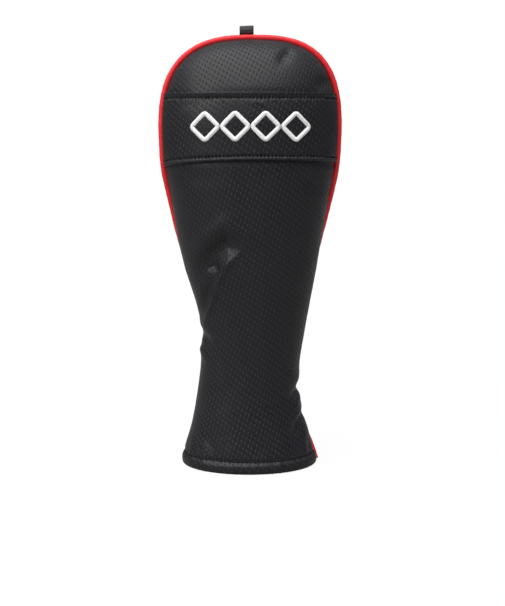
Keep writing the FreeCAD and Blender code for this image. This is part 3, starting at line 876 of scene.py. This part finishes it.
@functools.cache
def hole_tree():
    """Punched holes in slanting rows over a sheet of leather, laid out on the sheet's own flat pattern."""
    tree, graph, given, identifiers = new_tree("punched holes", (
        ("Radius", 0.00047), ("First step", (FIRST_STEP[0] * MM, FIRST_STEP[1] * MM, 0.0)),
        ("Second step", (SECOND_STEP[0] * MM, SECOND_STEP[1] * MM, 0.0)), ("Stand off", 0.00005)))
    lattice = graph.node("GeometryNodeMeshGrid", None, {
        "Size X": 220.0, "Size Y": 140.0, "Vertices X": 221, "Vertices Y": 141})
    position = graph.node("GeometryNodeInputPosition").outputs[0]
    number = graph.node("ShaderNodeSeparateXYZ", None, {"Vector": position})
    first = vector_node(graph, "SCALE", {"Vector": given["First step"], "Scale": number.outputs["X"]})
    second = vector_node(graph, "SCALE", {"Vector": given["Second step"], "Scale": number.outputs["Y"]})
    share = vector_node(graph, "SCALE", {
        "Vector": vector_node(graph, "ADD", {0: first, 1: second}), "Scale": 1 / SHEET})
    centred = vector_node(graph, "ADD", {0: share, 1: (0.5, 0.5, 0.0)})
    pattern = named_vector(graph, "pattern")
    spot, up = (graph.node("GeometryNodeSampleUVSurface", {"data_type": "FLOAT_VECTOR"}, {
        "Mesh": given["Geometry"], "Value": graph.node(kind).outputs[0],
        "Source UV Map": pattern, "Sample UV": centred}).outputs
        for kind in ("GeometryNodeInputPosition", "GeometryNodeInputNormal"))
    disc = graph.node("GeometryNodeMeshCircle", {"fill_type": "NGON"}, {
        "Vertices": 10, "Radius": given["Radius"]})
    holes = graph.node("GeometryNodeInstanceOnPoints", None, {
        "Points": lattice.outputs[0], "Selection": spot[1], "Instance": disc.outputs[0],
        "Rotation": facing(graph, up[0], (1.0, 0.0, 0.0)), "Scale": (1.0, HOLE_STRETCH, 1.0)})
    clear = vector_node(graph, "SCALE", {"Vector": up[0], "Scale": given["Stand off"]})
    moved = graph.node("GeometryNodeSetPosition", None, {
        "Geometry": holes.outputs[0], "Position": vector_node(graph, "ADD", {0: spot[0], 1: clear})})
    end_tree(graph, moved.outputs[0], given["Material"])
    return tree, identifiers


def grow(name, thing, tree_and_inputs, values, keep=False):
    """A piece with a plain mesh, made by a geometry tree from an object, which goes away unless kept."""
    tree, identifiers = tree_and_inputs
    modifier = thing.modifiers.new(tree.name, "NODES")
    modifier.node_group = tree
    for label, value in values.items():
        modifier[identifiers[label]] = value
    bpy.context.view_layer.update()
    evaluated = thing.evaluated_get(bpy.context.evaluated_depsgraph_get())
    mesh = bpy.data.meshes.new_from_object(evaluated)
    thing.modifiers.remove(modifier)
    if not mesh.polygons:
        raise RuntimeError("%s grew nothing" % tree.name)
    if not keep:
        source = thing.data
        bpy.data.objects.remove(thing)
        bpy.data.meshes.remove(source)
    mesh.name = name
    return show(name, mesh, values["Material"])


def sew(name, lines, stitch, thread):
    """Stitches of one size and thread along lines."""
    values = {**stitch, "Material": materials()[thread]}
    return grow(name, lines_object(name + "_line", lines), stitch_tree(), values)


# ---------------------------------------------------------------- pieces

def panel_points(columns):
    """Rows of a leather half: up the turned hem inside, round the roll, and up the outside to the crown."""
    cover = shell()
    first = 2
    start, start_height = cover.points[first][columns], cover.heights[first]
    out = cover.normal[first][columns] * (1, 1, 0)
    out = out / np.linalg.norm(out, axis=1, keepdims=True)
    turns = np.linspace(math.pi, 0, 11)[:-1]
    roll = [start - out * HEM_ROLL * (1 - math.cos(turn)) - np.array((0, 0, start_height * math.sin(turn)))
            for turn in turns]
    flap_heights = np.linspace(HEM_FLAP, start_height, 7)[:-1]
    flap = [cover.between(cover.flat, cover.row_at(height), columns) - out * 2 * HEM_ROLL
            for height in flap_heights]
    flap_climb = [-(start_height * ROLL_SHARE) - (height - start_height) for height in flap_heights]
    roll_climb = [start_height - start_height * ROLL_SHARE * turn / math.pi for turn in turns]
    rows = flap + roll + [cover.points[row][columns] for row in range(first, cover.rows)]
    return np.stack(rows), np.array(flap_climb + roll_climb + list(cover.climb[first:]))


def panel(name, columns, material):
    """One half of the leather over the given columns, from seam to seam."""
    cover = shell()
    points, climb = panel_points(columns)
    extra = len(points) - cover.rows
    across = cover.across[np.clip(np.arange(len(points)) - extra, 2, None)][:, columns]
    # The last column belongs to the other half, so its place follows on from the two before it.
    across[:, -1] = across[:, -2] + (across[:, -2] - across[:, -3])
    mesh = grid_mesh(name, points, uv=pattern_places(across, climb[:, None]))
    merge_doubles(mesh)
    return show(name, mesh, material)


class COVER_OT_leather(bpy.types.Operator):
    """Front and back leather over the padding, turned up inside at the hem"""
    bl_idname = "cover.leather"
    bl_label = "Leather panels"

    def execute(self, context):
        cover = shell()
        front = panel("front_leather", np.arange(0, cover.FRONT + 1), materials()["leather"])
        back_columns = np.concatenate([np.arange(cover.FRONT, cover.RING), [0]])
        back = panel("back_leather", back_columns, materials()["back"])
        fit(front, "cover", "perforated_leather", "front_panel", "front_padding")
        fit(back, "cover", "back_leather", "back_panel", "back_padding")
        return {"FINISHED"}


class COVER_OT_perforations(bpy.types.Operator):
    """Punched holes over the front leather and the band"""
    bl_idname = "cover.perforations"
    bl_label = "Perforations"

    def execute(self, context):
        values = {"Radius": context.scene.head_cover.hole_radius, "Material": materials()["hole"]}
        for sheet, name in (("front_leather", "front_perforations"), ("band_leather", "band_perforations")):
            holes = grow(name, bpy.data.objects[sheet], hole_tree(), values, keep=True)
            fit(holes, "cover", "perforated_leather")
        return {"FINISHED"}


class COVER_OT_lining(bpy.types.Operator):
    """Fleece lining inside, from the turned hem to the crown"""
    bl_idname = "cover.lining"
    bl_label = "Fleece lining"

    def execute(self, context):
        cover = shell()
        columns = np.arange(0, cover.RING, 3)
        rows = range(int(cover.row_at(LINING_START)), cover.rows - 6, 3)
        inwards = np.array((1, 1, 0.6)) * LINING_DEPTH
        points = np.stack([cover.flat[row][columns] - cover.normal[row][columns] * inwards for row in rows])
        points[:, :, 2] += 0.35 * ripple(points[:, :, 0] * 2 + points[:, :, 1], (7.0, 12.0), 21)
        top = points[-1].mean(axis=0)
        closing = [top + (points[-1] - top) * share for share in (0.66, 0.33, 0.0)]
        mesh = grid_mesh("fleece_lining", np.concatenate([points, closing]), wrap=True, flip=True)
        merge_doubles(mesh)
        lining = show("fleece_lining", mesh, materials()["fleece"])
        fit(lining, "cover", "fleece", "front_lining", "back_lining", "neck_elastic")
        return {"FINISHED"}


def seam_route():
    """Centre line of the piping and the way out of the leather along it."""
    cover = shell()
    flat, normal = (np.concatenate([grid[:, 0], grid[::-1, cover.FRONT][1:]])
                    for grid in (cover.flat, cover.plain_normal))
    return even(softened(flat + normal * PIPING_LIFT, 12), PIPING_STEP, softened(normal, 12))


class COVER_OT_piping(bpy.types.Operator):
    """Red leather piping in the seam, from hem over the crown to hem"""
    bl_idname = "cover.piping"
    bl_label = "Piping"

    def execute(self, context):
        radius = context.scene.head_cover.piping_radius / MM
        path, up = seam_route()
        path[:, 2] = np.maximum(path[:, 2], 0.3)
        turns = np.linspace(0, 2 * math.pi, 17)[:-1]
        swell = 1 + 0.035 * ripple(np.arange(len(path)) * PIPING_STEP, (3.1, 7.7, 19.0), 31)
        ring = np.stack([np.cos(turns), np.sin(turns)], axis=-1)
        section = swell[:, None, None] * ring * radius
        mesh = grid_mesh("piping", sweep(path, up, section), wrap=True, caps=True)
        piping = show("piping", mesh, materials()["piping"])
        fit(piping, "cover", "piping_red", "piping_cover", "piping_cord")
        return {"FINISHED"}


def band_edges(columns):
    """Heights of the band's two edges: it hangs lower on the left, and its top rises at both sides."""
    share = (np.asarray(columns, float) / Shell.FRONT - 0.5) * 2
    low = BAND_LOW - 3.6 * np.clip(-share, 0, 1) ** 1.5
    high = BAND_HIGH + 2.6 * share ** 2
    return low, high


def band_face(below, above):
    """Height of the band's face over the leather, at distances from its lower and its upper edge."""
    thick = 2.15
    below, above = np.maximum(below, 0), np.maximum(above, 0)
    soft = thick * (1 - np.exp(-(below / 0.7) ** 1.6)) + 0.85 * bell(below - 2.1, 1.2)
    sharp = thick * (1 - np.exp(-(above / 0.25) ** 1.6)) + 0.95 * bell(above - 0.7, 1.7)
    return np.where(below < above, soft, sharp) - 0.6


def band_points(row, column, heights, low, high):
    """Points of the band, and their distance across the leather."""
    cover = shell()
    last = cover.FRONT - 1
    across = cover.number_between(cover.across, row, np.minimum(column, last))
    before_last = cover.number_between(cover.across, row, np.full(row.shape, last - 1.0))
    across += np.maximum(column - last, 0) * (across[:, -1:] - before_last)
    from_groove = np.minimum(heights - low, high - heights) - BAND_SEAM
    lift = band_face(heights - low, high - heights)
    lift -= 1.3 * bell(from_groove, 0.9) * (0.6 + 0.4 * np.cos(2 * math.pi * across / BAND_PITCH))
    lift += 0.22 * ripple(across, (3.0, 8.0, 13.0), 41) * bell(from_groove, 2.6)
    lift += fold_lift(cover.number_between(cover.flat[..., 0], row, column), heights, BAND_FOLDS)
    seam = cover.number_between(cover.from_seam, row, column)
    lift = lift * (1 - bell(seam, 4.2)) - 0.8 * bell(seam, 2.4)
    return cover.on_plain(row, column, lift[..., None])[0], across


class COVER_OT_band(bpy.types.Operator):
    """Perforated band across the front with turned edges, and its two rows of stitches"""
    bl_idname = "cover.band"
    bl_label = "Band"

    def execute(self, context):
        cover = shell()
        columns = np.linspace(BAND_INSET, cover.FRONT - BAND_INSET, 3 * cover.FRONT + 1)
        edges = np.array(BAND_ROWS)[:, None]
        low, high = band_edges(columns)
        shares = np.linspace(0, 1, BAND_MIDDLE_ROWS + 2)[1:-1, None]
        middle = (low + BAND_ROWS[-1]) * (1 - shares) + (high - BAND_ROWS[-1]) * shares
        heights = np.concatenate([low + edges, middle, (high - edges)[::-1]])
        row, column = cover.row_at(heights), np.broadcast_to(columns, heights.shape)
        points, across = band_points(row, column, heights, low, high)
        climb = np.interp(heights, cover.heights, cover.climb)
        mesh = grid_mesh("band_leather", points, uv=pattern_places(across, climb))
        band = show("band_leather", mesh, materials()["leather"])
        fit(band, "cover", "perforated_leather", "band", "band_backing")
        spots = np.linspace(3, cover.FRONT - 3, 300)
        low, high = band_edges(spots)
        for name, place in (("band_top_stitching", high - BAND_SEAM),
                            ("band_bottom_stitching", low + BAND_SEAM)):
            line = (*cover.on_plain(cover.row_at(place), spots, 0.85), False)
            fit(sew(name + "_thread", [line], BAND_STITCH, "black thread"), "cover", "black_thread", name)
        return {"FINISHED"}


class COVER_OT_hem_stitching(bpy.types.Operator):
    """Stitches round the turned hem"""
    bl_idname = "cover.hem_stitching"
    bl_label = "Hem stitching"

    def execute(self, context):
        cover = shell()
        row = cover.row_at(HEM_SEAM)
        lines = [(*cover.on_leather(row, np.linspace(first + 4, last - 4, 320), 0.15), False)
                 for first, last in ((0, cover.FRONT), (cover.FRONT, cover.RING))]
        stitches = sew("hem_thread", lines, HEM_STITCH, "flecked thread")
        fit(stitches, "cover", "black_thread", "hem_stitching")
        return {"FINISHED"}


def diamond_route(centre, radius):
    """Places (across, height) along one diamond with rounded corners."""
    points = []
    tips = np.array([(0, 1), (1, 0), (0, -1), (-1, 0)])
    cut = DIAMOND_CORNER / radius
    for number, tip in enumerate(tips):
        start = tip + cut * (tips[number - 1] - tip)
        end = tip + cut * (tips[(number + 1) % 4] - tip)
        for t in np.linspace(0, 1, 9):
            points.append((1 - t) ** 2 * start + 2 * t * (1 - t) * tip + t ** 2 * end)
    points = np.array(points + points[:1]) * radius + (centre, EMBLEM_HEIGHT)
    return even(points, 0.5)[0][:-1]


class COVER_OT_emblem(bpy.types.Operator):
    """Row of four plain diamonds that meet at their tips, in raised white satin stitching"""
    bl_idname = "cover.emblem"
    bl_label = "Emblem"

    def execute(self, context):
        cover = shell()
        sizes = context.scene.head_cover
        radius, pitch, stroke = sizes.diamond_radius / MM, sizes.diamond_pitch / MM, sizes.diamond_stroke / MM
        lines = []
        for number in range(DIAMONDS):
            centre = (number - (DIAMONDS - 1) / 2) * pitch
            across, height = diamond_route(centre, radius - stroke * math.sqrt(0.5)).T
            row = cover.row_at(height)
            lines.append((*cover.on_plain(row, cover.column_at(row, across), EMBLEM_LIFT), True))
        thread = {"Stroke": sizes.diamond_stroke, "Material": materials()["white thread"]}
        emblem = grow("satin_emblem", lines_object("emblem_line", lines), satin_tree(), thread)
        fit(emblem, "cover", "white_thread", "emblem")
        return {"FINISHED"}


class COVER_OT_pull_loop(bpy.types.Operator):
    """Webbing pull loop that grows out of the crown seam, with its bar tack"""
    bl_idname = "cover.pull_loop"
    bl_label = "Pull loop"

    def execute(self, context):
        low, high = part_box("pull_loop")
        x, y = (low.x + high.x) / 2 / MM, (low.y + high.y) / 2 / MM
        base, top = low.z / MM, high.z / MM - 1.0
        eye = (high.y - low.y) / 2 / MM - 0.6
        turns = np.linspace(math.radians(-32), math.radians(212), 40)
        arch = np.stack([y - eye * np.cos(turns), top - 0.6 - eye + eye * np.sin(turns)], 1)
        foot = np.array([(y - 0.75, base + 0.4), (y - 0.7, base - 2.5), (y - 0.65, base - 8.0)])
        other_foot = foot + ((1.5, 0), (1.4, 0), (1.3, 0))
        route = np.concatenate([foot[::-1], arch, other_foot])
        path = np.column_stack([np.full(len(route), x), route])
        path = softened(even(path, 0.45)[0], 6)
        up = np.cross(np.gradient(path, axis=0), (-1.0, 0, 0))

        corner = np.linspace(-math.pi / 2, math.pi / 2, 5)
        flat = LOOP_HALF - LOOP_THICK
        right = np.stack([flat + LOOP_THICK * np.cos(corner), LOOP_THICK * np.sin(corner)], 1)
        face = np.stack([np.linspace(flat, -flat, 9)[1:-1], np.full(7, LOOP_THICK)], 1)
        ring = np.concatenate([right, face, -right, -face])
        points = sweep(path, up, np.broadcast_to(ring, (len(path), *ring.shape)))
        points[..., 2] += LOOP_SLOPE * (points[..., 0] - x)
        length = running(np.linalg.norm(np.diff(path, axis=0), axis=1))
        uv = np.stack(np.broadcast_arrays(length[:, None], ring[:, 0]), axis=-1) * MM
        mesh = grid_mesh("pull_loop_webbing", points, wrap=True, caps=True, uv=uv)
        loop = show("pull_loop_webbing", mesh, materials()["webbing"])
        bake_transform(loop)
        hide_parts("pull_loop", "loop_tail")

        spots = np.linspace(-TACK_HALF, TACK_HALF, 40)
        path = np.stack([x + spots, np.full(40, y - 1.45), base + 1.0 + LOOP_SLOPE * spots], 1)
        line = (path, np.tile((0.0, -1.0, 0.0), (40, 1)), False)
        tack = sew("bar_tack_thread", [line], TACK_STITCH, "black thread")
        fit(tack, "loop", "black_thread", "loop_bar_tack")
        return {"FINISHED"}


class COVER_OT_care_label(bpy.types.Operator):
    """Blank satin care label that hangs inside the mouth at the back"""
    bl_idname = "cover.care_label"
    bl_label = "Care label"

    def execute(self, context):
        low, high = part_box("care_label")
        across = np.linspace(low.x, high.x, 23) / MM
        down = np.linspace(low.z, high.z, 17) / MM
        x, z = np.meshgrid(across, down)
        y = low.y / MM + 0.6 + 0.5 * np.sin((z - z.min()) / 6.0) - 0.012 * (x - x.mean()) ** 2
        front = np.stack([x, y, z], axis=-1)
        back = front + (0, 0.35, 0)
        ring = np.concatenate([front, back[:, ::-1]], axis=1)
        uv = np.stack([ring[..., 0], ring[..., 2]], axis=-1) * MM
        mesh = grid_mesh("care_label_satin", ring, wrap=True, uv=uv)
        label = show("care_label_satin", mesh, materials()["label"])
        fit(label, "cover", "label", "care_label")
        return {"FINISHED"}


def floor_material():
    """Pale floor that looks white, and sends little light back up."""
    material, graph = new_material("pale floor")
    paint = graph.node("ShaderNodeBsdfPrincipled", None, {
        "Base Color": (0.35, 0.35, 0.35, 1.0), "Roughness": 0.8, "Specular IOR Level": 0.1})
    glow = graph.node("ShaderNodeEmission", None, {"Color": (1.0, 1.0, 1.0, 1.0), "Strength": 1.15})
    seen = graph.term("ShaderNodeLightPath", None, None, "Is Camera Ray") * 0.8
    blend = graph.node("ShaderNodeMixShader", None, {0: seen, 1: paint.outputs[0], 2: glow.outputs[0]})
    graph.node("ShaderNodeOutputMaterial", None, {"Surface": blend.outputs[0]})
    return material


def white_room():
    """World with most of its light from above, and plain white where it is seen."""
    world = bpy.data.worlds.new("white room")
    world.use_nodes = True
    graph = Graph(world.node_tree)
    way = graph.node("ShaderNodeTexCoord").outputs["Generated"]
    rise = Term(graph, graph.node("ShaderNodeSeparateXYZ", None, {"Vector": way}).outputs["Z"])
    overhead = graph.node("ShaderNodeValToRGB", {"stops": (
        (0.0, (0.04, 0.04, 0.04, 1)), (0.5, (0.08, 0.08, 0.084, 1)), (0.62, (0.24, 0.24, 0.25, 1)),
        (0.75, (0.38, 0.38, 0.4, 1)), (1.0, (0.6, 0.6, 0.625, 1)))}, {"Fac": rise * 0.5 + 0.5})
    room = graph.node("ShaderNodeBackground", None, {"Color": overhead.outputs[0], "Strength": 1.0})
    backdrop = graph.node("ShaderNodeBackground", None, {"Color": (1.0, 1.0, 1.0, 1.0), "Strength": 1.0})
    seen = graph.node("ShaderNodeLightPath").outputs["Is Camera Ray"]
    sky = graph.node("ShaderNodeMixShader", None, {0: seen, 1: room.outputs[0], 2: backdrop.outputs[0]})
    graph.node("ShaderNodeOutputWorld", None, {"Surface": sky.outputs[0]})
    return world


def aimed(name, data, place, aim):
    """A lamp or camera at a place, turned towards another."""
    thing = bpy.data.objects.new(name, data)
    thing.location = place
    thing.rotation_euler = (Vector(aim) - thing.location).to_track_quat("-Z", "Y").to_euler()
    bpy.context.scene.collection.objects.link(thing)
    return thing


class COVER_OT_stage(bpy.types.Operator):
    """Pale floor, soft light and camera"""
    bl_idname = "cover.stage"
    bl_label = "Stage"

    def execute(self, context):
        scene = context.scene
        mesh = bpy.data.meshes.new("floor")
        mesh.from_pydata([(-6, -6, 0), (6, -6, 0), (6, 6, 0), (-6, 6, 0)], [], [(0, 1, 2, 3)])
        floor = show("floor", mesh, floor_material())
        scene.world = white_room()
        sun = bpy.data.lights.new("overhead light", "SUN")
        sun.energy = 3.1
        sun.angle = math.radians(70)
        disk = bpy.data.lights.new("left light", "AREA")
        disk.shape = "DISK"
        disk.size = 0.5
        disk.energy = 7.0
        overhead = aimed("overhead light", sun, (-0.5, -0.9, 2.6), (0, 0, 0.2))
        left = aimed("left light", disk, (-1.2, -1.1, 1.0), (0, 0, 0.2))
        lens = bpy.data.cameras.new("camera")
        lens.sensor_fit = "VERTICAL"
        lens.angle = math.radians(scene.head_cover.camera_angle)
        scene.camera = aimed("camera", lens, (0.0, -0.8, 0.219), (0.0016, 0, 0.1298))
        scene.view_settings.view_transform = "Standard"
        return {"FINISHED"}


class HeadCoverSettings(bpy.types.PropertyGroup):
    """Sizes and colours of the cover"""
    leather_colour: bpy.props.FloatVectorProperty(
        name="Leather", description="Darkest colour of the black leather",
        default=(0.0075, 0.0075, 0.0088), size=3, min=0, max=1, subtype="COLOR")
    leather_gloss: bpy.props.FloatProperty(
        name="Leather roughness", description="Roughness of the black leather",
        default=0.4, min=0.05, max=1, subtype="FACTOR")
    piping_colour: bpy.props.FloatVectorProperty(
        name="Piping", description="Colour of the piping",
        default=(0.84, 0.02, 0.028), size=3, min=0, max=1, subtype="COLOR")
    piping_radius: bpy.props.FloatProperty(
        name="Piping radius", description="Radius of the piping", default=0.0024, min=0.0005, unit="LENGTH")
    hole_radius: bpy.props.FloatProperty(
        name="Hole radius", description="Radius of one punched hole",
        default=0.00047, min=0.0001, unit="LENGTH")
    diamond_radius: bpy.props.FloatProperty(
        name="Diamond radius", description="Half diagonal of one diamond of the emblem",
        default=0.0125, min=0.004, unit="LENGTH")
    diamond_pitch: bpy.props.FloatProperty(
        name="Diamond pitch", description="Distance between neighbouring diamonds",
        default=0.0225, min=0.004, unit="LENGTH")
    diamond_stroke: bpy.props.FloatProperty(
        name="Stroke", description="Width of the satin stitching", default=0.0031, min=0.0005, unit="LENGTH")
    camera_angle: bpy.props.FloatProperty(
        name="Camera angle", description="Height of the camera's view in degrees",
        default=33.6, min=5, max=90)


STEPS = (COVER_OT_leather, COVER_OT_lining, COVER_OT_piping, COVER_OT_band, COVER_OT_perforations,
         COVER_OT_hem_stitching, COVER_OT_emblem, COVER_OT_pull_loop, COVER_OT_care_label, COVER_OT_stage)


class COVER_PT_pieces(bpy.types.Panel):
    """Pieces of the head cover"""
    bl_idname = "COVER_PT_pieces"
    bl_label = "Driver head cover"
    bl_space_type = "VIEW_3D"
    bl_region_type = "UI"
    bl_category = "Head Cover"

    def draw(self, context):
        settings = context.scene.head_cover
        for name in HeadCoverSettings.__annotations__:
            self.layout.prop(settings, name)
        for step in STEPS:
            self.layout.operator(step.bl_idname)


CLASSES = (HeadCoverSettings, *STEPS, COVER_PT_pieces)


def register():
    for item in CLASSES:
        bpy.utils.register_class(item)
    bpy.types.Scene.head_cover = bpy.props.PointerProperty(type=HeadCoverSettings)


def unregister():
    del bpy.types.Scene.head_cover
    for item in reversed(CLASSES):
        bpy.utils.unregister_class(item)


def main():
    register()
    for step in STEPS:
        group, name = step.bl_idname.split(".")
        getattr(getattr(bpy.ops, group), name)()


if __name__ == "__main__":
    main()
